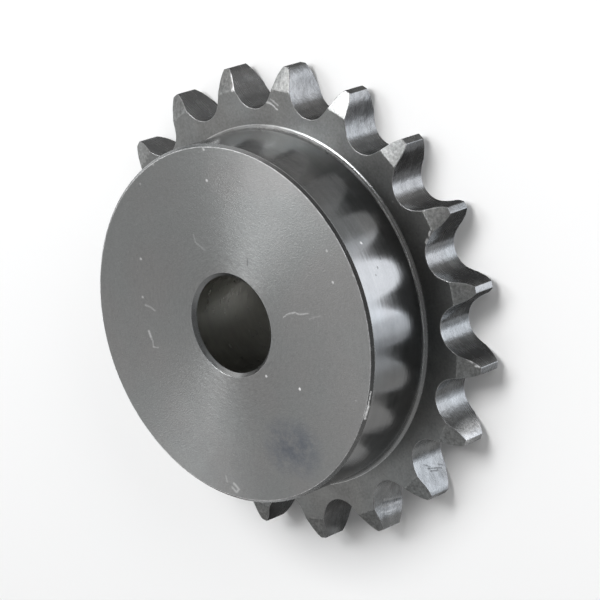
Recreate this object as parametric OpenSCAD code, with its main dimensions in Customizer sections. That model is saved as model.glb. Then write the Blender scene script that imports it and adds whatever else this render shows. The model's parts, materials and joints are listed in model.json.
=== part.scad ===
// Chain sprocket for single-strand roller chain, with a hub on one side
// The part is turned from one blank and its teeth are then cut, so it is one solid.
// The Z axis is the axle. The back of the tooth plate lies at Z = 0 and the hub points up.
// Tooth number one is centred on the X axis. Lengths are in millimetres, angles in degrees.

/* [Chain] */
// Pitch of the chain, from one roller to the next
pitch = 19.05; // [17.8:0.05:25.4]
// Diameter of the chain's rollers
roller_d = 11.91; // [9:0.01:13]
// Free play of a roller in its seat, across the diameter
seat_play = 0.076; // [0.02:0.001:0.3]
// Number of teeth
teeth = 19; // [18:1:60]

/* [Tooth plate] */
// Thickness of the plate, a little under the chain's inside width
plate_t = 11.5; // [6:0.05:18]
// Depth of the bevel at a tooth's tip, along the axle, on each side
bevel_depth = 2.38; // [0.5:0.01:2.9]
// Reach of the bevel inwards from the tips, on each side
bevel_reach = 5.7; // [2:0.05:10]

/* [Hub] */
// Diameter of the hub, which stays inside the chain's link plates
hub_d = 93.65; // [50:0.05:94.3]
// Length through the bore, from the plate's back face to the hub's end face
overall_len = 31.75; // [22:0.05:80]
// Chamfer at the rim of the hub's end face
hub_chamfer = 0.75; // [0.2:0.05:4]
// Radius of the fillet where the hub meets the plate
hub_fillet = 1; // [0.3:0.05:3]

/* [Bore] */
// Diameter of the bore
bore_d = 25.4; // [12:0.05:45]
// Chamfer at both mouths of the bore
bore_chamfer = 1; // [0.2:0.05:2.5]

/* [Hidden] */
steel = [0.56, 0.57, 0.59];

// Facets on the round faces where the part is drawn as a mesh
turned_fn = 180;
flank_fn = 96;
// How far a cutting shape runs past the face that it cuts
overrun = 1;
// Neighbouring arcs overlap by this much, so that they cross and don't just touch
blend = 0.002;

// Angle from a tooth's middle to the middle of the gap beside it
half_step = 180 / teeth;
pitch_r = pitch / (2 * sin(half_step));
tip_r = pitch * (0.6 + 1 / tan(half_step)) / 2;
hub_r = hub_d / 2;
bore_r = bore_d / 2;

// The standard tooth form for roller chain, on one side of a gap. Places are [across, out]
// from the roller's centre on the pitch circle, and each arc leads into the next:
// the seat that the roller rests in, the working arc that it climbs, a short straight
// flank, and the topping arc that rounds over to the tip.
seat_end = 35 + 60 / teeth;
work_sweep = 18 - 56 / teeth;
flank_angle = seat_end - work_sweep;
topping_sweep = 17 - 64 / teeth;
work_lead = 0.8 * roller_d;
topping_lead = 1.4 * roller_d;
seat_r = (1.005 * roller_d + seat_play) / 2;
work_r = 1.3025 * roller_d + seat_play / 2;
topping_r = roller_d * (0.8 * cos(work_sweep) + 1.4 * cos(topping_sweep) - 1.3025) - seat_play / 2;
flank_len = roller_d * (1.4 * sin(topping_sweep) - 0.8 * sin(work_sweep));
work_c = work_lead * [-cos(seat_end), sin(seat_end)];
topping_c = topping_lead * [cos(half_step), -sin(half_step)];
flank_normal = [cos(flank_angle), -sin(flank_angle)];
flank_dir = [sin(flank_angle), cos(flank_angle)];
flank_start = work_c + (work_r - blend) * flank_normal;
flank_end = flank_start + flank_len * flank_dir;

// Cross section of the turned blank, as [radius, height]
function blank_outline() = [
    [bore_r + bore_chamfer, 0],
    [tip_r - bevel_reach, 0],
    [tip_r, bevel_depth],
    [tip_r, plate_t - bevel_depth],
    [tip_r - bevel_reach, plate_t],
    [hub_r, plate_t],
    [hub_r, overall_len - hub_chamfer],
    [hub_r - hub_chamfer, overall_len],
    [bore_r + bore_chamfer, overall_len],
    [bore_r, overall_len - bore_chamfer],
    [bore_r, bore_chamfer]
];

// Material left in the corner between hub and plate, down to a hollow quarter arc
module fillet_section() {
    difference() {
        translate([hub_r - overrun, plate_t - overrun]) square(hub_fillet + overrun);
        translate([hub_r + hub_fillet, plate_t + hub_fillet])
            circle(hub_fillet + blend, $fn = flank_fn);
    }
}

module blank() {
    rotate_extrude($fn = turned_fn) {
        polygon(blank_outline());
        fillet_section();
    }
}

// Part of the gap that the working arc bounds, as a slice of that arc's circle.
// It runs on a little past its end, into the flank's area.
module working_slice() {
    reach = 1.2 * work_r;
    past_end = 2;
    translate(work_c) intersection() {
        circle(work_r, $fn = flank_fn);
        polygon([
            [0, 0],
            reach * [cos(seat_end), -sin(seat_end)],
            reach * [cos(flank_angle - past_end), -sin(flank_angle - past_end)]
        ]);
    }
}

// Mouth of the gap between the two straight flanks, opening out to the tips
module mouth() {
    // The corners lie inside the teeth, just short of their middles
    corner_angle = 0.99 * half_step;
    corner_r = tip_r + overrun;
    corner = [corner_r * sin(corner_angle), corner_r * cos(corner_angle) - pitch_r];
    right_side = [flank_start, flank_end, corner];
    left_side = [for (i = [2, 1, 0]) [-right_side[i].x, right_side[i].y]];
    difference() {
        polygon(concat(right_side, left_side));
        for (side = [0, 1]) mirror([side, 0]) translate(topping_c)
            circle(topping_r + 2 * blend, $fn = flank_fn);
    }
}

// Outline of the space between two teeth, with the roller's centre at the origin
module gap_outline() {
    circle(seat_r + blend, $fn = flank_fn);
    for (side = [0, 1]) mirror([side, 0]) working_slice();
    mouth();
}

module tooth_gaps() {
    for (i = [0:teeth - 1])
        rotate((2 * i + 1) * half_step - 90)
            translate([0, pitch_r, -overrun])
                linear_extrude(plate_t + 2 * overrun) gap_outline();
}

module sprocket() {
    color(steel) difference() {
        blank();
        tooth_gaps();
    }
}

sprocket();
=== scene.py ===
"""Looks of a chain sprocket: a turned steel blank with cut teeth, in soft studio light."""

import json
import math

import bpy
import numpy as np
from mathutils import Matrix, Vector


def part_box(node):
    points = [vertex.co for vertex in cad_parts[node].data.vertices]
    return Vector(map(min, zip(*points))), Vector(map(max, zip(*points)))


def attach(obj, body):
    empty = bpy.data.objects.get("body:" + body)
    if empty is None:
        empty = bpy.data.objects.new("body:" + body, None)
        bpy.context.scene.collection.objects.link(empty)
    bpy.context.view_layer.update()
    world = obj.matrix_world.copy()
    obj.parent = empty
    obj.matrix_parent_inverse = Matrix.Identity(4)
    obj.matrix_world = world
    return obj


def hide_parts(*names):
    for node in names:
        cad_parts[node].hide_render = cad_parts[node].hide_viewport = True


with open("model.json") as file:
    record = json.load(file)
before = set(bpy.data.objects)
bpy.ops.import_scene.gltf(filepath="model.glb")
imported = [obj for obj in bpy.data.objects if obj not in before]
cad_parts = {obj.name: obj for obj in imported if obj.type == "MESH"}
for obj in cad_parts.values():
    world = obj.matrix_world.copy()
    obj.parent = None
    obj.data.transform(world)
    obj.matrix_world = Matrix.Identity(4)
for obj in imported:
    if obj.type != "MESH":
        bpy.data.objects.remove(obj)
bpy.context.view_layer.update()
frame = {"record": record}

MM = 0.001
CM_PER_MM = 0.1

# Driving sizes of the sprocket in millimetres, as in the part's source
PITCH = 19.05
ROLLER_D = 11.91
SEAT_PLAY = 0.076
TEETH = 19
PLATE_T = 11.5
BEVEL_DEPTH = 2.38
BEVEL_REACH = 5.7
HUB_D = 93.65
HUB_CHAMFER = 0.75
HUB_FILLET = 1.0
BORE_CHAMFER = 1.0
OVERALL_LEN = float(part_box("sprocket")[1][2]) / MM
BORE_D = 2 * frame["record"]["mounts"][0]["dims"]["r_mm"]

# Small edge breaks that tools and handling leave, as radii
LATHE_EDGE = 0.15
RIM_EDGE = 0.3
TOOTH_EDGE = 0.14
TIP_CORNER = 0.3

# Sizes that follow from the driving ones, with the tip's radius from the standard tooth form
HALF_STEP = math.pi / TEETH
PITCH_R = PITCH / (2 * math.sin(HALF_STEP))
TIP_R = PITCH * (0.6 + 1 / math.tan(HALF_STEP)) / 2
HUB_R = HUB_D / 2
BORE_R = BORE_D / 2
BEVEL_START = TIP_R - BEVEL_REACH

# The circle on the plate from which columns run out to the teeth and its distance from the
# fillet, the strip of flat face kept inside the bevel's crease, and the least run left for the
# rings beyond the crease at the bottom of a gap
PLATE_RING_GAP = 1.2
PLATE_RING_R = HUB_R + HUB_FILLET + PLATE_RING_GAP
CREASE_STRIP = 0.3
LEAST_BEVEL = 0.06

# Points on each rounded edge of the turned section, in view and on the hidden side
EDGE_POINTS = 9
BACK_EDGE_POINTS = 5

# The surfaces of the sprocket, in the order of its material slots
SURFACES = [
    "bore_wall", "bore_chamfer", "hub_end", "hub_rim", "hub_chamfer", "hub_side", "hub_fillet",
    "plate_front", "tooth_edge", "tooth_flank", "plate_back",
]
FLAT_SURFACES = ["hub_end", "plate_front", "plate_back"]

# Marks of handling, each as the points of its line in millimetres, its width and its strength
HUB_END_MARKS = [
    ([(-0.4, -18.7), (0.2, -20.4), (0.2, -23.1), (-0.4, -24.0), (-0.6, -27.2)], 0.3, 0.30),
    ([(-2.0, -27.2), (-1.8, -30.9)], 0.3, 0.12),
    ([(9.3, 28.4), (8.5, 26.6), (7.4, 25.5)], 0.4, 0.18),
    ([(2.4, 29.7), (0.9, 29.5)], 0.6, 0.35),
    ([(-0.2, 29.2), (-1.8, 29.6), (-2.2, 27.9)], 0.3, 0.22),
    ([(-38.1, 16.2), (-39.5, 16.3)], 0.4, 0.2),
    ([(-40.3, 14.1), (-42.0, 12.8), (-42.6, 14.0), (-41.3, 15.0)], 0.5, 0.3),
    ([(24.5, 4.5), (22.6, 4.5), (20.1, 2.1)], 0.4, 0.12),
]
HUB_END_DENTS = [
    ([(15.6, -11.8), (14.1, -11.2)], 0.35, 0.4),
]
HUB_SIDE_MARKS = [
    ([(13.4, -44.9, 25.5), (13.2, -45.0, 25.4)], 0.5, 0.7),
]
HUB_SIDE_DENTS = [
    ([(6.6, -46.4, 23.7), (6.3, -46.4, 23.6)], 0.4, 0.5),
    ([(4.9, -46.6, 25.2), (4.7, -46.6, 25.1)], 0.35, 0.4),
    ([(8.4, -46.1, 21.6), (8.2, -46.1, 21.5)], 0.35, 0.4),
]
TOOTH_EDGE_MARKS = [
    ([(61.1, -1.8, 9.8), (59.4, -2.4, 10.5), (57.0, -3.0, 11.5)], 0.3, 0.9),
    ([(57.6, -2.6, 11.3), (57.2, -2.4, 11.4)], 0.6, 0.7),
    ([(11.4, -55.2, 11.5), (10.6, -54.6, 11.5)], 0.45, 0.5),
    ([(9.6, -53.7, 11.5), (8.9, -53.0, 11.5)], 0.5, 0.4),
    ([(-21.4, -55.1, 10.3), (-22.6, -56.2, 9.9)], 0.4, 0.5),
    ([(-23.6, -56.8, 9.6), (-24.0, -57.4, 9.4)], 0.5, 0.5),
]
FLANK_MARKS = [
    ([(-41.0, -46.1, 9.5), (-39.9, -46.1, 5.9), (-39.3, -45.9, 2.1)], 3.6, 0.6),
    ([(-54.4, -12.6, 7.2), (-55.0, -12.5, 4.1), (-55.1, -12.4, 1.2)], 0.45, 0.3),
    ([(-56.0, -12.3, 8.7), (-56.3, -12.3, 5.0), (-56.4, -12.3, 1.3)], 0.45, 0.35),
    ([(-57.1, -12.2, 9.3), (-57.7, -12.2, 6.3), (-57.7, -12.2, 2.2)], 0.4, 0.3),
]
FLANK_DENTS = [
    ([(-46.7, -29.6, 7.7), (-47.8, -29.6, 5.8)], 0.3, 0.6),
    ([(-48.0, -29.7, 6.8), (-49.1, -29.9, 2.0)], 0.28, 0.6),
    ([(-48.8, -29.8, 6.2), (-49.4, -29.9, 3.6)], 0.28, 0.6),
    ([(-47.9, -29.7, 2.7), (-48.6, -29.8, 1.2)], 0.3, 0.5),
    ([(-55.0, -12.5, 8.0), (-55.8, -12.4, 1.3)], 0.5, 0.35),
]
PLATE_MARKS = [
    ([(52.9, -11.7), (51.6, -14.1)], 0.5, 0.4),
    ([(52.2, -12.6), (51.2, -14.6), (49.5, -15.9)], 0.3, 0.5),
    ([(52.6, -14.6), (50.6, -16.6)], 0.3, 0.3),
    ([(7.8, -54.9), (7.6, -54.5)], 0.5, 0.3),
]

# Bright specks on the hub's end, each as its place in millimetres and its strength. Each is
# drawn as a short stroke, with the run and the width that follow.
HUB_END_SPECKS = [
    (44.9, -7.0, 0.5), (37.1, -5.3, 0.6), (44.2, 11.9, 0.4), (21.2, 25.4, 0.4), (11.4, 28.5, 0.3),
    (-19.0, -17.7, 0.9), (-14.4, -7.5, 0.7), (5.7, -38.2, 0.5), (13.7, -39.0, 0.4), (6.4, -45.6, 0.4),
]
SPECK_LINE = (0.15, 0.1)
SPECK_WIDTH = 0.45

# Painted highlights on the hub's rim, each from one azimuth to another in degrees, with its width in
# millimetres and its strength. They bend a little towards the axle. The first two are the nick, a
# real dent, drawn pale as a painted glint.
RIM_GLINTS = [
    (-119.0, -124.0, 0.25, 1.0), (-124.0, -128.5, 0.5, 1.0), (-151.5, -154.5, 0.35, 0.7),
    (-158.5, -160.5, 0.3, 0.6), (-164.5, -165.5, 0.4, 0.6), (-84.5, -86.0, 0.3, 0.6),
    (21.0, 8.0, 0.2, 0.35), (2.0, -14.0, 0.25, 0.4), (-27.0, -38.0, 0.2, 0.4),
    (-45.0, -49.0, 0.25, 0.4),
]
RIM_BEND = 0.1
NICK_MARKS = 2

# The stain on the hub's end: the ends of its middle line, its reach in millimetres and its tint
STAIN_ENDS = ((-33.0, -8.0, OVERALL_LEN), (-34.0, -12.0, OVERALL_LEN))
STAIN_REACH = 9.0
STAIN_TINT = (0.92, 0.98, 1.1, 1.0)

# Direction across the hub's end towards which it is drawn lighter
HUB_END_LIGHTER_SIDE = (-0.1, -0.995, 0.0)

# Faint tints between which the steel drifts, a cool one and a warm one
FACE_TINTS = ((0.985, 1.005, 1.0), (1.0, 0.997, 0.99))
PLATE_TINTS = ((0.97, 1.0, 1.0), (1.0, 1.0, 0.98))
STEEL_TINTS = ((0.97, 1.0, 1.01), (1.0, 1.0, 0.99))
BORE_TINTS = ((1.0, 1.0, 0.93), (1.02, 1.0, 0.92))

# The camera of the photograph about the lying part: lens and sensor in millimetres, and the
# nearest distance seen and the place in metres
LENS = 204.91
SENSOR_WIDTH = 36
NEAREST_SEEN = 0.05
CAMERA_PLACE = (0.0685945, -0.6120457, 0.6387869)
CAMERA_RIGHT = (-0.2598, -0.7085, -0.6562)
CAMERA_UP = (0.9626, -0.1355, -0.2348)

# Radii in metres where the floor's rings end: the shaded one under the part, the near one, and
# the far one with a step on its way
UNDER_R = 0.050
NEAR_R = 0.120
FAR_R = 0.6
FLOOR_R = 6.0
RING_SIDES = 64

# The dark well of painted shade in metres: the radius of its wall, its top and bottom, and where
# its bottom fades
WELL_R = 0.0499
WELL_TOP = -0.0002
WELL_BOTTOM = -0.050
WELL_FADE_R = 0.060
WELL_RIM_R = 0.096

# The card that glows with painted light and shade: its azimuth in degrees, and in metres its
# distance from the axle, half its width, its foot and its top
CARD_AZIMUTH = 161.05
CARD_DISTANCE = 0.0629
CARD_HALF_WIDTH = 0.13
CARD_FOOT = -0.2
CARD_TOP = 0.025

# Directions in which the studio is darker above the floor, and lighter below it
DARKER_ABOVE = (0.077, -0.693, 0.717)
LIGHTER_BELOW = (0.87, -0.5, 0.0)

# Soft panels: azimuth and elevation in degrees, width and height in metres, brightness, distance
# in metres, colour, and whether the steel mirrors them. Those with a negative elevation stand
# below the floor, which doesn't hold their light back.
PLAIN = (1.0, 1.0, 1.0)
COOL = (0.97, 0.985, 1.0)
BLUISH = (0.885, 0.925, 1.0)
PANELS = [
    ("key", 33, 58, (0.31, 0.31), 8.2, 1.0, COOL, True),
    ("right_panel", -91, -38, (0.26, 0.20), 1.2, 0.5, BLUISH, True),
    ("right_wide", -91, -38, (0.46, 0.24), 0.75, 0.55, BLUISH, True),
    ("right_tail", -126, -41, (0.34, 0.24), 0.42, 0.58, BLUISH, True),
    ("right_end", -152, -46, (0.3, 0.24), 0.22, 0.6, PLAIN, True),
    ("right_upper", -88, -13, (0.34, 0.20), 2.7, 0.6, BLUISH, True),
    ("right_edge", -70, -40, (0.6, 0.3), 0.12, 0.6, PLAIN, True),
    ("left_fill", 88, 46, (0.9, 1.8), 0.40, 1.2, PLAIN, True),
    ("left_low", 99, 14, (0.4, 0.35), 0.8, 1.0, PLAIN, True),
    ("left_under", 73, -45, (0.25, 0.25), 1.0, 0.6, PLAIN, True),
    ("back_fill", 15, 15, (1.3, 0.5), 0.5, 1.5, PLAIN, True),
    ("floor_light", -12, 56, (0.5, 0.5), 14.0, 1.2, PLAIN, False),
    ("floor_right", -70, 28, (0.6, 0.3), 3.7, 0.9, PLAIN, False),
]


def unit(angle):
    """Flat unit vector at an angle in degrees."""
    turn = math.radians(angle)
    return np.array([math.cos(turn), math.sin(turn)])


def angle_of(vector):
    """Angle of a flat vector in degrees."""
    return math.degrees(math.atan2(vector[1], vector[0]))


def arc(centre, radius, start, end, count):
    """Points and outward directions along an arc, from one angle to another, both ends included."""
    angle = np.radians(np.linspace(start, end, count))
    outward = np.stack([np.cos(angle), np.sin(angle)], axis=1)
    return centre + radius * outward, outward


def circle_crossing(first, first_r, second, second_r):
    """The crossing of two circles that lies left of the line from the first centre to the second.

    Along that line it lies (d^2 + r1^2 - r2^2) / 2d from the first centre, and beside it
    by what is left of r1 by Pythagoras.
    """
    line = second - first
    apart = np.hypot(*line)
    along = (apart ** 2 + first_r ** 2 - second_r ** 2) / (2 * apart)
    beside = math.sqrt(first_r ** 2 - along ** 2)
    ahead = line / apart
    left = np.array([-ahead[1], ahead[0]])
    return first + along * ahead + beside * left


def half_gap():
    """One half of a tooth gap, from its lowest point to the middle of the tooth beside it.

    The points are [across, out] from the roller's centre on the pitch circle. They follow the
    standard tooth form for roller chain: seat arc, working arc, straight flank, topping arc,
    a small corner arc and half the land at the tip. The standard gives the angles by the number
    of teeth, and the radii and the distances of the centres by the roller's diameter.
    The second array holds the directions that point out of the steel.
    """
    half_step = math.degrees(HALF_STEP)
    seat_end = 35 + 60 / TEETH
    sweep = 18 - 56 / TEETH
    flank = seat_end - sweep
    topping = 17 - 64 / TEETH
    work_far = 0.8 * ROLLER_D
    top_far = 1.4 * ROLLER_D
    seat_r = (1.005 * ROLLER_D + SEAT_PLAY) / 2
    work_r = 1.3025 * ROLLER_D + SEAT_PLAY / 2
    top_r = work_far * unit(sweep)[0] + top_far * unit(topping)[0] - work_r
    flank_len = top_far * unit(topping)[1] - work_far * unit(sweep)[1]
    work_c = work_far * unit(180 - seat_end)
    top_c = top_far * unit(-half_step)
    axle = np.array([0.0, -PITCH_R])

    seat, seat_dir = arc(np.zeros(2), seat_r, -90, -seat_end, 9)
    work, work_dir = arc(work_c, work_r, -seat_end, -flank, 5)
    flank_top = work[-1] + flank_len * unit(90 - flank)
    corner_c = circle_crossing(axle, TIP_R - TIP_CORNER, top_c, top_r - TIP_CORNER)
    top_end = angle_of(corner_c - top_c)
    land_start = angle_of(corner_c - axle)
    top, top_dir = arc(top_c, top_r, angle_of(flank_top - top_c), top_end, 9)
    corner, corner_dir = arc(corner_c, TIP_CORNER, top_end, land_start, 4)
    land, land_dir = arc(axle, TIP_R, land_start, 90 - half_step, 3)
    points = np.concatenate([seat, work[1:], top, corner[1:], land[1:]])
    outward = np.concatenate([-seat_dir, -work_dir[1:], top_dir, corner_dir[1:], land_dir[1:]])
    return points, outward


def rim_outline():
    """The whole toothed outline: points, outward directions and evenly spaced angles of the columns.

    Each period runs from the middle of one tooth to the next: the half gap mirrored and
    reversed, then the half gap. It is turned to each gap's angle about the axle.
    """
    points, outward = half_gap()
    flip = np.array([-1.0, 1.0])
    period = np.concatenate([points[:0:-1] * flip, points[:-1]])
    period_dir = np.concatenate([outward[:0:-1] * flip, outward[:-1]])
    gap_angle = (2 * np.arange(TEETH) + 1) * HALF_STEP
    out_dir = np.stack([np.cos(gap_angle), np.sin(gap_angle)], axis=1)[:, None, :]
    across_dir = np.stack([-np.sin(gap_angle), np.cos(gap_angle)], axis=1)[:, None, :]
    place = (period[None, :, 1:] + PITCH_R) * out_dir + period[None, :, :1] * across_dir
    facing = period_dir[None, :, 1:] * out_dir + period_dir[None, :, :1] * across_dir
    share = np.arange(len(period)) / len(period) - 0.5
    even = gap_angle[:, None] + share[None, :] * 2 * HALF_STEP
    return place.reshape(-1, 2), facing.reshape(-1, 2), even.reshape(-1)


def rounded_path(corners, count):
    """A section line through corners, each with its edge radius, the edge's surface and the next one.

    An arc of radius r touches both sides at r / tan(half the corner's angle) from the corner,
    and has so many points. Returns the points and the surface that follows each of them.
    """
    points = [np.array(corners[0][0], float)]
    surfaces = [corners[0][3]]
    threes = zip(corners, corners[1:], corners[2:])
    for (before, *_), (corner, radius, edge, surface), (after, *_) in threes:
        here = np.array(corner, float)
        back = before - here
        ahead = after - here
        back /= np.hypot(*back)
        ahead /= np.hypot(*ahead)
        half = math.acos(float(np.clip(back @ ahead, -1, 1))) / 2
        middle = (back + ahead) / np.hypot(*(back + ahead))
        centre = here + middle * radius / math.sin(half)
        first = here + back * radius / math.tan(half) - centre
        last = here + ahead * radius / math.tan(half) - centre
        share = np.linspace(0, 1, count)[:, None]
        chord = first * (1 - share) + last * share
        points.extend(centre + radius * chord / np.hypot(chord[:, 0], chord[:, 1])[:, None])
        surfaces += [edge] * (count - 1) + [surface]
    points.append(np.array(corners[-1][0], float))
    surfaces.append(corners[-1][3])
    return np.array(points), surfaces


def bevel_drop(xy):
    """How far a plate face drops at each point: nothing inside the bevel, then a straight cone."""
    radius = np.hypot(xy[:, 0], xy[:, 1])
    return np.maximum(0, radius - BEVEL_START) * BEVEL_DEPTH / BEVEL_REACH


def tooth_zone(outline, facing, even):
    """Rings of the plate from the hub side of its front face, out over the rim, to its wall.

    A column runs straight from the even inner circle to the edge of the tooth outline. One ring
    follows the bevel's crease, at the share of the run where its point p + s q has the crease's
    radius: s = (-p.q + sqrt((p.q)^2 - q.q (p.p - r^2))) / q.q. The edge between face and rim
    is a quarter arc along the outline's own direction.
    """
    inner = PLATE_RING_R * np.stack([np.cos(even), np.sin(even)], axis=1)
    run = outline - TOOTH_EDGE * facing - inner
    a = (run ** 2).sum(1)
    b = (inner * run).sum(1)
    c = (inner ** 2).sum(1) - BEVEL_START ** 2
    crease = (-b + np.sqrt(np.maximum(b * b - a * c, 0))) / a
    crease = np.clip(crease, 0, 1 - LEAST_BEVEL / np.sqrt(a))
    before_crease = crease * (1 - CREASE_STRIP / np.sqrt(a) / np.maximum(crease, 0.1))
    shares = [np.zeros_like(crease), 0.5 * crease, before_crease, crease]
    shares += [crease + (1 - crease) * share for share in (0.08, 0.35, 0.7, 1.0)]
    rings = []
    for share in shares:
        xy = inner + share[:, None] * run
        rings.append((xy, PLATE_T - bevel_drop(xy)))
    for turn in np.radians([30, 60, 90]):
        xy = outline - TOOTH_EDGE * (1 - math.sin(turn)) * facing
        rings.append((xy, PLATE_T - bevel_drop(xy) - TOOTH_EDGE * (1 - math.cos(turn))))
    return rings, ["plate_front"] * 7 + ["tooth_edge"] * 3 + ["tooth_flank"]


def sprocket_grid():
    """All the rings round the section, as one grid of rings by columns, and each band's surface.

    A band is the strip of faces from its ring to the next. The section starts half way up the
    bore, goes over the hub end, down the hub side, out over the teeth and back under the plate.
    """
    outline, facing, even = rim_outline()
    circle = np.stack([np.cos(even), np.sin(even)], axis=1)

    def turned(line):
        return [(radius * circle, np.full(len(even), height)) for radius, height in line]

    end = OVERALL_LEN
    front_line, front_surfaces = rounded_path([
        ((BORE_R, end / 2), 0, "", "bore_wall"),
        ((BORE_R, end - BORE_CHAMFER), LATHE_EDGE, "bore_chamfer", "bore_chamfer"),
        ((BORE_R + BORE_CHAMFER, end), LATHE_EDGE, "bore_chamfer", "hub_end"),
        ((HUB_R - HUB_CHAMFER, end), RIM_EDGE, "hub_rim", "hub_chamfer"),
        ((HUB_R, end - HUB_CHAMFER), RIM_EDGE, "hub_chamfer", "hub_side"),
        ((HUB_R, PLATE_T), HUB_FILLET, "hub_fillet", "plate_front"),
        ((PLATE_RING_R, PLATE_T), 0, "", "plate_front"),
    ], EDGE_POINTS)
    rim, rim_surfaces = tooth_zone(outline, facing, even)
    wall_top = rim[-1][1]
    wall = [(outline, wall_top + (PLATE_T - 2 * wall_top) * share) for share in (0.33, 0.67)]
    back_rim = [(xy, PLATE_T - z) for xy, z in rim[::-1]]
    back_rim_surfaces = ["plate_back" if s == "plate_front" else s for s in rim_surfaces[-2::-1]]
    back_line, back_surfaces = rounded_path([
        ((PLATE_RING_R, 0), 0, "", "plate_back"),
        ((BORE_R + BORE_CHAMFER, 0), LATHE_EDGE, "bore_chamfer", "bore_chamfer"),
        ((BORE_R, BORE_CHAMFER), LATHE_EDGE, "bore_chamfer", "bore_wall"),
        ((BORE_R, end / 4), 0, "", "bore_wall"),
    ], BACK_EDGE_POINTS)
    rings = turned(front_line[:-1]) + rim + wall + back_rim + turned(back_line[1:])
    surfaces = front_surfaces[:-1] + rim_surfaces + ["tooth_flank"] * len(wall)
    surfaces += back_rim_surfaces + back_surfaces
    grid = np.array([np.column_stack([xy, z]) for xy, z in rings])
    return grid, np.array([SURFACES.index(name) for name in surfaces])


def grid_normals(grid):
    """Directions of the grid's points, as the area-weighted mean of the faces around each.

    Half the cross product of a face's diagonals is its area times its direction, so large flat
    faces keep their own direction right up to the small rounded edges between them.
    """
    right = np.roll(grid, -1, axis=1)
    up = np.roll(grid, -1, axis=0)
    far = np.roll(right, -1, axis=0)
    face = np.cross(far - grid, up - right)
    total = face + np.roll(face, 1, axis=0)
    total = total + np.roll(total, 1, axis=1)
    return total / np.linalg.norm(total, axis=2, keepdims=True)


def sprocket_mesh(grid, band):
    """One closed mesh of the grid, which closes on itself both round the axle and round the section."""
    rings, columns = grid.shape[:2]
    index = np.arange(rings * columns).reshape(rings, columns)
    right = np.roll(index, -1, axis=1)
    up = np.roll(index, -1, axis=0)
    far = np.roll(right, -1, axis=0)
    quads = np.stack([index, right, far, up], axis=2).reshape(-1, 4)
    mesh = bpy.data.meshes.new("sprocket_turned")
    mesh.from_pydata((grid * MM).reshape(-1, 3), [], quads)
    mesh.polygons.foreach_set("use_smooth", np.ones(len(quads), bool))
    mesh.polygons.foreach_set("material_index", np.repeat(band, columns).astype(np.int32))
    add_turning_map(mesh, grid, band)
    normals = grid_normals(grid).reshape(-1, 3)
    mesh.normals_split_custom_set_from_vertices([tuple(n) for n in normals])
    mesh.update()
    return mesh


def add_turning_map(mesh, grid, band):
    """UV map whose U runs the way the tool went, so that brushed highlights can follow it.

    U is the azimuth on flat faces, and elsewhere the share of the way round the outline as an
    angle. V is the radius on flat faces and the height elsewhere, in centimetres.
    """
    columns = grid.shape[1]
    wide = np.concatenate([grid, grid[:, :1]], axis=1)
    azimuth = np.unwrap(np.arctan2(wide[..., 1], wide[..., 0]), axis=1)
    radius = np.hypot(wide[..., 0], wide[..., 1])
    round_rim = np.arange(columns + 1) / columns * 2 * math.pi
    flat = np.isin(band, [SURFACES.index(name) for name in FLAT_SURFACES])[:, None]

    def face_corner(on_flat, elsewhere, ring_step, column_step):
        values = [np.roll(v, -ring_step, axis=0) for v in (on_flat, elsewhere)]
        return np.where(flat, *values)[:, column_step:columns + column_step]

    uv = []
    for steps in ((0, 0), (0, 1), (1, 1), (1, 0)):
        u = face_corner(azimuth, np.broadcast_to(round_rim, azimuth.shape), *steps)
        v = face_corner(radius, wide[..., 2], *steps)
        uv.append(np.stack([u, v * CM_PER_MM], axis=2))
    layer = mesh.uv_layers.new(name="turning")
    layer.data.foreach_set("uv", np.stack(uv, axis=2).astype(np.float32).ravel())


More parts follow.
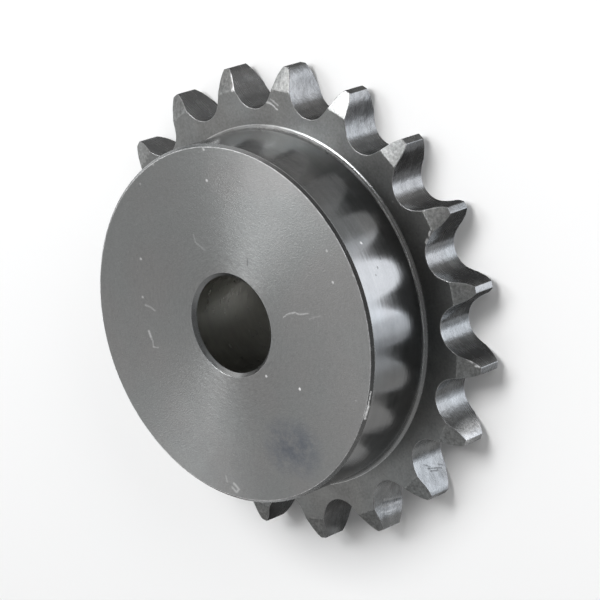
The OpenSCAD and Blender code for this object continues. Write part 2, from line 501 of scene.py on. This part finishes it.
class Nodes:
    """A node tree, with short calls for its nodes."""

    def __init__(self, tree):
        self.tree = tree

    def feed(self, socket, value):
        """Link an output to a socket, or set the socket's own value."""
        if isinstance(value, bpy.types.NodeSocket):
            self.tree.links.new(value, socket)
        else:
            socket.default_value = value

    def node(self, kind, inputs, output=0, **settings):
        """A new node with its inputs and settings. Returns one of its outputs."""
        node = self.tree.nodes.new("ShaderNode" + kind)
        for key, value in settings.items():
            setattr(node, key, value)
        for key, value in inputs.items():
            self.feed(node.inputs[key], value)
        return node.outputs[output]

    def math(self, operation, *values, clamp=False):
        return self.node("Math", dict(enumerate(values)), operation=operation, use_clamp=clamp)

    def vector(self, operation, first, second=None, scale=None, output=0):
        inputs = {0: first}
        if second is not None:
            inputs[1] = second
        if scale is not None:
            inputs["Scale"] = scale
        return self.node("VectorMath", inputs, output, operation=operation)

    def noise(self, vector, scale=1.0, detail=2.0, rough=0.5, output=0):
        inputs = {"Vector": vector, "Scale": scale, "Detail": detail, "Roughness": rough}
        return self.node("TexNoise", inputs, output)

    def span(self, value, low, high, to_low=0.0, to_high=1.0, **settings):
        """Value taken from one range to another, held at its ends."""
        inputs = {0: value, 1: low, 2: high, 3: to_low, 4: to_high}
        return self.node("MapRange", inputs, **settings)

    def mix(self, share, first, second):
        """Colour between two. The sockets of a Mix node's colours are its 6th and 7th."""
        return self.node("Mix", {0: share, 6: first, 7: second}, 2, data_type="RGBA")

    def bump(self, height, distance, under=None):
        """Height from 0 to 1 as relief of that many metres."""
        inputs = {"Height": height, "Distance": distance, "Strength": 1.0}
        if under is not None:
            inputs["Normal"] = under
        return self.node("Bump", inputs)

    def stroke(self, place, first, last, width):
        """Mask of a straight stroke: 1 on the line from first to last, 0 beyond its width.

        The line's nearest point lies (p - a).(b - a) / |b - a|^2 of the way along, held to the line.
        """
        run = np.subtract(last, first)
        offset = self.vector("SUBTRACT", place, tuple(first))
        dot = self.vector("DOT_PRODUCT", offset, tuple(run), output=1)
        share = self.math("DIVIDE", dot, float(run @ run), clamp=True)
        nearest = self.vector("SCALE", tuple(run), scale=share)
        away = self.vector("DISTANCE", offset, nearest, output=1)
        return self.span(away, width * 0.2, width, 1.0, 0.0)

    def strokes(self, place, marks, height=None):
        """The strongest of several marks at each point, a little unsteady, as a hand's are.

        Points without a height lie at the one given.
        """
        if not marks:
            return 0.0
        wander = self.vector("SUBTRACT", self.noise(place, 1.5, output=1), (0.5, 0.5, 0.5))
        place = self.vector("ADD", place, self.vector("SCALE", wander, scale=0.5))
        total = 0.0
        for points, width, strength in marks:
            points = [tuple(p) if len(p) == 3 else (*p, height) for p in points]
            for first, last in zip(points, points[1:]):
                mask = self.math("MULTIPLY", self.stroke(place, first, last, width), strength)
                total = self.math("MAXIMUM", mask, total)
        return total

    def specks(self, place, cell, size, share):
        """Small round spots: one at a random point in each cell, kept in a share of the cells."""
        colour = self.node("TexVoronoi", {"Vector": place, "Scale": 1 / cell}, "Color")
        distance = colour.node.outputs["Distance"]
        kept = self.math("LESS_THAN", self.node("SeparateXYZ", {0: colour}), share)
        spot = self.span(distance, 0.4 * size / cell, size / cell, 1.0, 0.0)
        return self.math("MULTIPLY", spot, kept)


class Finish(Nodes):
    """The material of one finish."""

    def __init__(self, name):
        self.material = bpy.data.materials.new(name)
        self.material.use_nodes = True
        super().__init__(self.material.node_tree)
        self.shader = self.tree.nodes["Principled BSDF"]

    def set(self, **values):
        """Feed the shader's sockets, whose names have spaces in place of underscores."""
        for name, value in values.items():
            self.feed(self.shader.inputs[name.replace("_", " ")], value)


def grey(level):
    """Neutral colour of a level."""
    return (level, level, level, 1.0)


def part_place(finish):
    """Place on the part in millimetres."""
    return finish.vector("SCALE", finish.node("TexCoord", {}, "Object"), scale=1 / MM)


def height_of(finish, place):
    """Height of a place above the floor."""
    return finish.node("SeparateXYZ", {0: place}, 2)


def from_axle(finish, place):
    """A place's distance from the axle, and its direction round it."""
    flat = finish.vector("MULTIPLY", place, (1, 1, 0))
    return finish.vector("LENGTH", flat, output=1), finish.vector("NORMALIZE", flat)


def tool_lines(finish, around, along, pitch, turns, detail=3.0):
    """Noise drawn out round the axle: it changes with the pitch along, and slowly round."""
    lift = finish.node("CombineXYZ", {2: finish.math("DIVIDE", along, pitch)})
    ring = finish.vector("SCALE", around, scale=turns)
    return finish.noise(finish.vector("ADD", ring, lift), detail=detail, rough=0.6)


def handling_specks(finish, place):
    """Faint specks, here and there over a face."""
    return finish.math("MULTIPLY", finish.specks(place, cell=5.0, size=0.4, share=0.2), 0.25)


def scratches_and_glints(finish, colour, mask):
    """Steel with pale marks that look pale from every side: scratches, whose fine burrs scatter light,
    and the painted highlights of the hub's rim.
    """
    if isinstance(mask, float):
        finish.set(Base_Color=colour, Metallic=1.0)
    else:
        finish.set(Base_Color=finish.mix(mask, colour, grey(0.95)))
        finish.set(Metallic=finish.span(mask, 0.0, 1.0, 1.0, 0.05))


def tone_of(finish, level, *waves):
    """Grey of a level, lighter and darker by the sum of noises, each with its share of the level."""
    total = 1.0
    for wave, share in waves:
        total = finish.math("ADD", finish.span(wave, 0.3, 0.7, -share, share), total)
    return finish.math("MULTIPLY", total, level)


def tinted(finish, tone, place, cool, warm):
    """Tone with a faint tint that drifts over the face from cool to warm."""
    drift = finish.noise(place, 0.05)
    tint = finish.mix(finish.span(drift, 0.4, 0.6), (*cool, 1.0), (*warm, 1.0))
    return finish.vector("SCALE", tint, scale=tone)


def darkened(finish, tone, mask, depth):
    """Tone taken down by a share where the mask is 1."""
    if isinstance(mask, float):
        return tone
    return finish.math("MULTIPLY", tone, finish.span(mask, 0.0, 1.0, 1.0, 1.0 - depth))


def brushed(finish, amount):
    """Highlights drawn out across the tool's lines, as their grooves do."""
    finish.set(Anisotropic=amount, Anisotropic_Rotation=0.25)
    finish.set(Tangent=finish.node("Tangent", {}, direction_type="UV_MAP", uv_map="turning"))


def hub_end():
    """End of the hub, faced on the lathe: fine grooves, a soft grain, a stain and handling marks."""
    finish = Finish("hub_end")
    place = part_place(finish)
    radius, around = from_axle(finish, place)
    lines = tool_lines(finish, around, radius, pitch=0.5, turns=11.0)
    cloud = finish.noise(place, 0.11, detail=4, rough=0.6)
    fine = finish.noise(place, 1.1, detail=4, rough=0.7)
    tone = tone_of(finish, 0.355, (cloud, 0.04), (lines, 0.03), (fine, 0.07))

    # Coarser lines near the bore, and lighter towards one side
    inner = finish.span(radius, 12.0, 28.0, 0.1, 0.0)
    coarse = finish.math("MULTIPLY", finish.span(lines, 0.35, 0.65, -1.0, 1.0), inner)
    tone = finish.math("MULTIPLY", tone, finish.math("ADD", coarse, 1.0))
    across = finish.vector("DOT_PRODUCT", place, HUB_END_LIGHTER_SIDE, output=1)
    tone = finish.math("MULTIPLY", tone, finish.span(across, 0.0, 38.0, 0.98, 1.25))

    # The stain, broken up into blotches, and the dent
    blotch = finish.noise(place, 0.25, detail=4, rough=0.7)
    stain = finish.stroke(place, *STAIN_ENDS, STAIN_REACH)
    stain = finish.math("MULTIPLY", stain, finish.span(blotch, 0.3, 0.6))
    tone = darkened(finish, tone, stain, 0.32)
    tone = darkened(finish, tone, finish.strokes(place, HUB_END_DENTS, OVERALL_LEN), 1.0)
    colour = tinted(finish, tone, place, *FACE_TINTS)
    colour = finish.vector("MULTIPLY", colour, finish.mix(stain, grey(1.0), STAIN_TINT))

    # Scratches and specks
    dx, dy = SPECK_LINE
    specks = [([(x, y), (x + dx, y + dy)], SPECK_WIDTH, strength) for x, y, strength in HUB_END_SPECKS]
    marks = finish.strokes(place, HUB_END_MARKS + specks, OVERALL_LEN)
    scratches_and_glints(finish, colour, finish.math("MAXIMUM", handling_specks(finish, place), marks))

    # Gloss drawn out by the grooves, which are deepest near the bore, and a fine glint
    brushed(finish, 0.75)
    finish.set(Roughness=tone_of(finish, 0.42, (cloud, 0.05), (lines, 0.12)))
    grooves = tool_lines(finish, around, radius, pitch=0.9, turns=9.0, detail=1.0)
    grooves = finish.math("MULTIPLY", grooves, finish.span(radius, 14.0, 34.0, 1.0, 0.15))
    glint = finish.noise(place, 3.0, detail=0)
    finish.set(Normal=finish.bump(glint, 4.5e-5, finish.bump(grooves, 7e-5)))
    return finish.material


def plate_face(name, marks):
    """Face of the plate, which passes raggedly into the coarser bevel cut at its rim."""
    finish = Finish(name)
    place = part_place(finish)
    radius, around = from_axle(finish, place)
    lines = tool_lines(finish, around, radius, pitch=0.5, turns=2.0)
    cloud = finish.noise(place, 0.16, detail=5, rough=0.65)
    fine = finish.noise(place, 1.4, detail=4, rough=0.7)
    grain = finish.noise(place, 1.3, detail=3, rough=0.7)
    ragged = finish.math("ADD", radius, finish.span(fine, 0.3, 0.7, -0.6, 0.6))
    bevel = finish.span(ragged, BEVEL_START - 0.4, BEVEL_START + 0.4)
    face_tone = tone_of(finish, 0.285, (cloud, 0.14), (lines, 0.03), (fine, 0.16))
    bevel_tone = tone_of(finish, 0.47, (grain, 0.38), (cloud, 0.15))
    tone = finish.node("Mix", {0: bevel, 2: face_tone, 3: bevel_tone})
    colour = tinted(finish, tone, place, *PLATE_TINTS)
    scratches = finish.strokes(place, marks, PLATE_T)
    scratches_and_glints(finish, colour, finish.math("MAXIMUM", handling_specks(finish, place), scratches))
    brushed(finish, 0.3)
    finish.set(Roughness=0.37)
    relief = finish.bump(finish.math("MULTIPLY", grain, bevel), 3e-5)
    finish.set(Normal=finish.bump(fine, 8e-6, finish.bump(lines, 3e-6, relief)))
    return finish.material


def turned_wall(name, level, rough, relief, pitch, marks=(), dents=(), wobble=0.0, mottle=0.08,
                tints=STEEL_TINTS):
    """Wall turned or cut parallel to the axle: fine lines of constant height, over broader ones.

    The relief is the depth of the lines in metres and the pitch is theirs in millimetres. The
    wobble is the depth of slow waves in metres, and the mottle is how much clouds lighten it.
    """
    finish = Finish(name)
    place = part_place(finish)
    height = height_of(finish, place)
    _, around = from_axle(finish, place)
    lines = tool_lines(finish, around, height, pitch, turns=1.0, detail=1.0)
    broad = tool_lines(finish, around, height, pitch * 5, turns=2.0, detail=1.0)
    cloud = finish.noise(place, 0.3, detail=4, rough=0.65)
    tone = tone_of(finish, level, (broad, 0.06), (cloud, mottle), (lines, 0.04))
    tone = darkened(finish, tone, finish.strokes(place, dents), 1.0)
    colour = tinted(finish, tone, place, *tints)
    mask = finish.strokes(place, marks)
    if marks:
        grain = finish.noise(place, 1.6, detail=3, rough=0.7)
        mask = finish.math("MULTIPLY", mask, finish.span(grain, 0.4, 0.6, 0.5, 1.0))
    scratches_and_glints(finish, colour, mask)
    brushed(finish, 0.45)
    finish.set(Roughness=tone_of(finish, rough, (lines, 0.12), (cloud, 0.12)))
    waves = finish.bump(cloud, wobble) if wobble else None
    finish.set(Normal=finish.bump(lines, relief, finish.bump(broad, relief * 0.4, waves)))
    return finish.material


def rough_edge(name, level, rough, marks):
    """Broken edge with a dull grain."""
    finish = Finish(name)
    place = part_place(finish)
    grain = finish.noise(place, 1.6, detail=3, rough=0.65)
    cloud = finish.noise(place, 0.3, detail=3, rough=0.6)
    tone = tone_of(finish, level, (grain, 0.3), (cloud, 0.2))
    colour = finish.vector("SCALE", (1.0, 1.0, 1.0), scale=tone)
    scratches_and_glints(finish, colour, finish.strokes(place, marks))
    finish.set(Roughness=tone_of(finish, rough, (cloud, 0.1)))
    finish.set(Normal=finish.bump(grain, 1e-5))
    return finish.material


def rim_point(azimuth, inset):
    """Point of the hub's outer rim, in the middle of its small chamfer, moved in by the inset."""
    x, y = (HUB_R - HUB_CHAMFER / 2 - inset) * unit(azimuth)
    return (x, y, OVERALL_LEN - HUB_CHAMFER / 2)


def rim_glint_marks():
    """The rim's painted highlights as marks of three points, the first of them on the rim itself."""
    marks = []
    for first, last, width, strength in RIM_GLINTS:
        bends = ((first, 0.0), ((first + last) / 2, RIM_BEND), (last, RIM_BEND))
        marks.append(([rim_point(*bend) for bend in bends], width, strength))
    return marks


def make_finishes():
    """One finish for each surface, in the order of the material slots."""
    rim = rim_glint_marks()
    return [
        turned_wall("bore_wall", 0.34, 0.32, 3e-6, 0.5, tints=BORE_TINTS),
        turned_wall("bore_chamfer", 0.54, 0.3, 2e-5, 0.25),
        hub_end(),
        # The rim carries its painted highlights, and the chamfer the nick's painted glint
        rough_edge("hub_rim", 0.75, 0.5, rim),
        turned_wall("hub_chamfer", 0.36, 0.25, 3e-6, 0.5, rim[:NICK_MARKS]),
        turned_wall("hub_side", 0.34, 0.2, 1.6e-5, 0.7, HUB_SIDE_MARKS, HUB_SIDE_DENTS),
        turned_wall("hub_fillet", 0.6, 0.28, 2e-6, 0.35),
        plate_face("plate_front", PLATE_MARKS + TOOTH_EDGE_MARKS),
        rough_edge("tooth_edge", 0.6, 0.4, TOOTH_EDGE_MARKS),
        turned_wall("tooth_flank", 0.33, 0.26, 3e-6, 0.4, FLANK_MARKS, FLANK_DENTS, 1.2e-4, 0.22),
        plate_face("plate_back", []),
    ]


def make_sprocket():
    """The sprocket as one smooth mesh in place of the plain solid."""
    grid, band = sprocket_grid()
    sprocket = bpy.data.objects.new("sprocket_finished", sprocket_mesh(grid, band))
    bpy.context.scene.collection.objects.link(sprocket)
    for material in make_finishes():
        sprocket.data.materials.append(material)
    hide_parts("sprocket")
    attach(sprocket, "root")


def make_camera():
    """The camera of the photograph: its place and roll about the lying part."""
    data = bpy.data.cameras.new("camera")
    data.lens = LENS
    data.sensor_width = SENSOR_WIDTH
    data.clip_start = NEAREST_SEEN
    camera = bpy.data.objects.new("camera", data)
    right = Vector(CAMERA_RIGHT)
    up = Vector(CAMERA_UP)
    turn = Matrix((right, up, right.cross(up))).transposed()
    camera.matrix_world = Matrix.Translation(Vector(CAMERA_PLACE)) @ turn.to_4x4()
    bpy.context.scene.collection.objects.link(camera)
    bpy.context.scene.camera = camera


def glowing(name, level, rough, glow):
    """Dull finish of a grey level that gives off a little light of its own."""
    finish = Finish(name)
    finish.set(Base_Color=grey(level), Roughness=rough, Specular_IOR_Level=0.0)
    finish.set(Emission_Color=grey(1.0), Emission_Strength=glow)
    return finish


def stage_piece(name, points, faces, finish):
    """A piece of the stage, which throws no shadow."""
    mesh = bpy.data.meshes.new(name)
    mesh.from_pydata(points, [], faces)
    mesh.materials.append(finish.material)
    piece = bpy.data.objects.new(name, mesh)
    piece.visible_shadow = False
    bpy.context.scene.collection.objects.link(piece)
    return piece


def floor_ring(name, path, finish):
    """Ring round the axle: a path of radius and height in metres, swept through every azimuth."""
    radius, height = np.array(path).T[:, :, None]
    azimuth = np.arange(RING_SIDES) / RING_SIDES * 2 * math.pi
    points = np.broadcast_arrays(radius * np.cos(azimuth), radius * np.sin(azimuth), height)
    index = np.arange(len(path) * RING_SIDES).reshape(len(path), RING_SIDES)
    beside = np.roll(index, -1, axis=1)
    quads = np.stack([index[:-1], index[1:], beside[1:], beside[:-1]], axis=2).reshape(-1, 4)
    return stage_piece(name, np.stack(points, axis=2).reshape(-1, 3), quads, finish)


def make_floor():
    """Plain pale floor. The steel doesn't mirror the ring just round the part."""
    lit = glowing("pale_floor", 0.8, 0.9, 0.05)
    # Painted shade and light: under the part lies a shaded copy of the floor, with a fainter glow
    shaded = glowing("pale_floor_shaded", 0.8, 0.9, 0.02)
    floor_ring("floor_under", [(0.0, 0.0), (UNDER_R, 0.0)], shaded)
    floor_ring("floor_near", [(UNDER_R, 0.0), (NEAR_R, 0.0)], lit).visible_glossy = False
    floor_ring("floor_far", [(NEAR_R, 0.0), (FAR_R, 0.0), (FLOOR_R, 0.0)], lit)


def card_painted_light(finish, along):
    """Painted light and shade of the card, which it gives off as its own glow, by the height h and by
    b, three quarters of the distance from its middle.

    In millimetres, the painted light comes up where h + b passes from 8 to 13, and reaches 10 deeper
    where b passes from 36 to 48. It stays low, a painted shade, in the corner where b is under 14 and
    h under 0.5, and weakens with height. A soft painted patch above h = 7.5, on the other side,
    lights the bevel there.
    """
    place = part_place(finish)
    height = height_of(finish, place)
    beside = finish.vector("DOT_PRODUCT", place, tuple(0.75 * along), output=1)
    far = finish.span(beside, 36.0, 48.0, 0.0, 10.0)
    lit = finish.span(finish.math("ADD", height, finish.math("ADD", beside, far)), 8.0, 13.0)
    past_corner = finish.span(beside, 14.0, 19.0, 0.1, 1.0)
    above_corner = finish.span(height, 0.5, 4.0, 0.1, 1.0)
    lit = finish.math("MULTIPLY", lit, finish.math("MAXIMUM", past_corner, above_corner))
    lit = finish.span(lit, 0.0, 1.0, 0.2, 1.0)
    glow = finish.math("MULTIPLY", finish.span(height, 2.0, 9.0, 0.42, 0.16), lit)
    top = finish.span(height, 7.5, 10.0, 0.0, 0.2)
    patch = finish.math("MULTIPLY", top, finish.span(beside, 0.0, 6.0, 1.0, 0.0))
    return finish.math("MAXIMUM", glow, patch)


def make_card():
    """Glowing card under the teeth that rest lowest in the photograph. Only reflections show it."""
    out = np.array([*unit(CARD_AZIMUTH), 0])
    along = np.array([-out[1], out[0], 0])
    sides = np.array([-CARD_HALF_WIDTH, CARD_HALF_WIDTH])[:, None, None] * along
    heights = np.array([CARD_FOOT, CARD_TOP])[None, :, None] * np.array([0, 0, 1])
    points = (out * CARD_DISTANCE + sides + heights).reshape(-1, 3)
    # Painted light and shade: the card is black and gives off only the glow worked out above
    finish = glowing("painted_light_card", 0.0, 1.0, 0.0)
    finish.set(Emission_Strength=card_painted_light(finish, along))
    card = stage_piece("card", points, [(0, 1, 3, 2)], finish)
    card.visible_camera = False
    card.visible_diffuse = False


def make_shade():
    """Dark well of painted shade deep under the teeth, fading out at its rim. Only the walls of the
    gaps mirror it.
    """
    # It also gives off a faint glow of its own, painted light within that shade
    finish = glowing("dark_shade", 0.0, 1.0, 0.07)
    radius, _ = from_axle(finish, part_place(finish))
    finish.set(Alpha=finish.span(radius, WELL_FADE_R / MM, WELL_RIM_R / MM, 1.0, 0.0))
    path = [(WELL_R, WELL_TOP), (WELL_R, WELL_BOTTOM), (WELL_RIM_R, WELL_BOTTOM)]
    well = floor_ring("dark_shade", path, finish)
    well.visible_camera = False
    well.visible_diffuse = False
    well.visible_shadow = True


def make_surround():
    """Grey studio all round, darker on the photograph's side, and below the floor most of all to -X."""
    world = bpy.data.worlds.new("surround")
    world.use_nodes = True
    nodes = Nodes(world.node_tree)
    towards = nodes.node("TexCoord", {}, "Generated")
    facing = nodes.vector("DOT_PRODUCT", towards, DARKER_ABOVE, output=1)
    above = nodes.span(facing, 0.25, 0.9, 0.24, 0.11, interpolation_type="SMOOTHSTEP")
    side = nodes.vector("DOT_PRODUCT", towards, LIGHTER_BELOW, output=1)
    below = nodes.span(side, -0.7, 0.7, 0.05, 0.27)
    height = nodes.node("SeparateXYZ", {0: towards}, 2)
    share = nodes.span(height, -0.4, -0.1, interpolation_type="SMOOTHSTEP")
    level = nodes.node("Mix", {0: share, 2: below, 3: above})
    nodes.feed(nodes.tree.nodes["Background"].inputs["Color"], level)
    bpy.context.scene.world = world


def panel(name, azimuth, elevation, size, brightness, distance, colour, mirrored):
    """A soft panel that faces the part. Its power is its brightness times pi times its area."""
    light = bpy.data.lights.new(name, "AREA")
    light.shape = "RECTANGLE"
    light.size = size[0]
    light.size_y = size[1]
    light.energy = brightness * math.pi * size[0] * size[1]
    light.color = colour
    lamp = bpy.data.objects.new(name, light)
    level, rise = unit(elevation)
    place = Vector((*(level * unit(azimuth)), rise)) * distance
    lamp.matrix_world = Matrix.Translation(place) @ place.to_track_quat("Z", "Y").to_matrix().to_4x4()
    lamp.visible_glossy = mirrored
    bpy.context.scene.collection.objects.link(lamp)


bpy.context.scene.view_settings.view_transform = "Standard"
make_camera()
make_sprocket()
make_floor()
make_card()
make_shade()
make_surround()
for settings in PANELS:
    panel(*settings)
